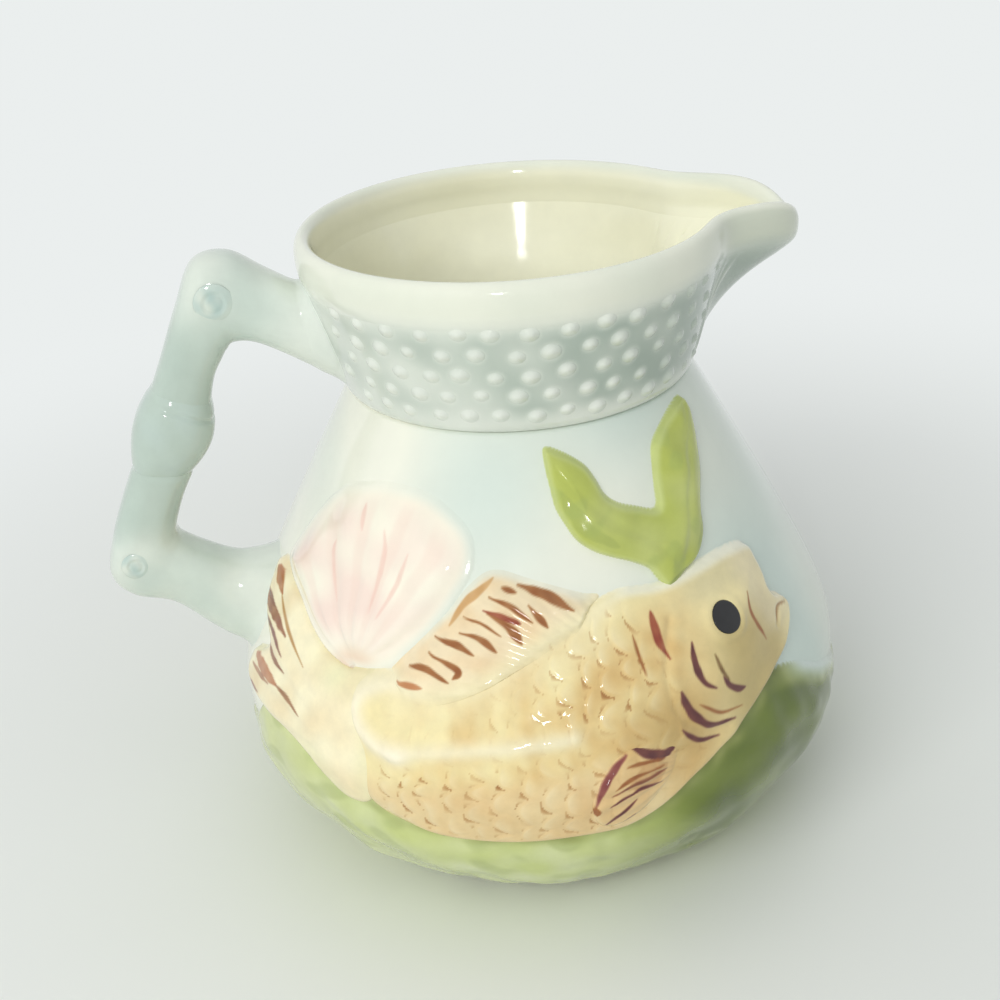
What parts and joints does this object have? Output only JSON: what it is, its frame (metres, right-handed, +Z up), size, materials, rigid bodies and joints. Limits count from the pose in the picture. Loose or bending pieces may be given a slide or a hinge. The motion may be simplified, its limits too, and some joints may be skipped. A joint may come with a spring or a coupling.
{
  "type": "relief pitcher",
  "caption": "Pear-shaped glazed pitcher with a flared beaded collar, pinched spout, bamboo-form handle and moulded fish, shell and seaweed relief on both faces.",
  "frame": {"origin": "middle of the foot ring's underside, on the jug's axis", "axes": "+Z up the jug's axis, +X towards the spout, the handle on -X, the front face towards -Y"},
  "size_m": [0.1915, 0.1708, 0.1585],
  "materials": {
    "aqua_glaze": "gloss",
    "collar_glaze": "gloss",
    "cream_glaze": "gloss",
    "handle_glaze": "gloss",
    "bare_foot": "matt biscuit",
    "green_glaze": "gloss",
    "fish_glaze": "gloss",
    "fin_glaze": "gloss",
    "eye_enamel": "gloss",
    "shell_glaze": "gloss"
  },
  "bodies": {
    "root": {"foot_ring": "bare_foot", "body_wall": "aqua_glaze", "collar": "collar_glaze", "rim_roll": "cream_glaze", "collar_beads": "collar_glaze", "handle": "handle_glaze", "handle_joint_band": "handle_glaze", "handle_branch_scars": "handle_glaze", "front_weed_bed": "green_glaze", "front_fish_body": "fish_glaze", "front_fish_tail": "fish_glaze", "front_back_fin": "fin_glaze", "front_side_fin": "fin_glaze", "front_fish_eye": "eye_enamel", "front_shell": "shell_glaze", "front_seaweed": "green_glaze", "rear_weed_bed": "green_glaze", "rear_fish_body": "fish_glaze", "rear_fish_tail": "fish_glaze", "rear_back_fin": "fin_glaze", "rear_side_fin": "fin_glaze", "rear_fish_eye": "eye_enamel", "rear_shell": "shell_glaze", "rear_seaweed": "green_glaze"}
  },
  "joints": []
}
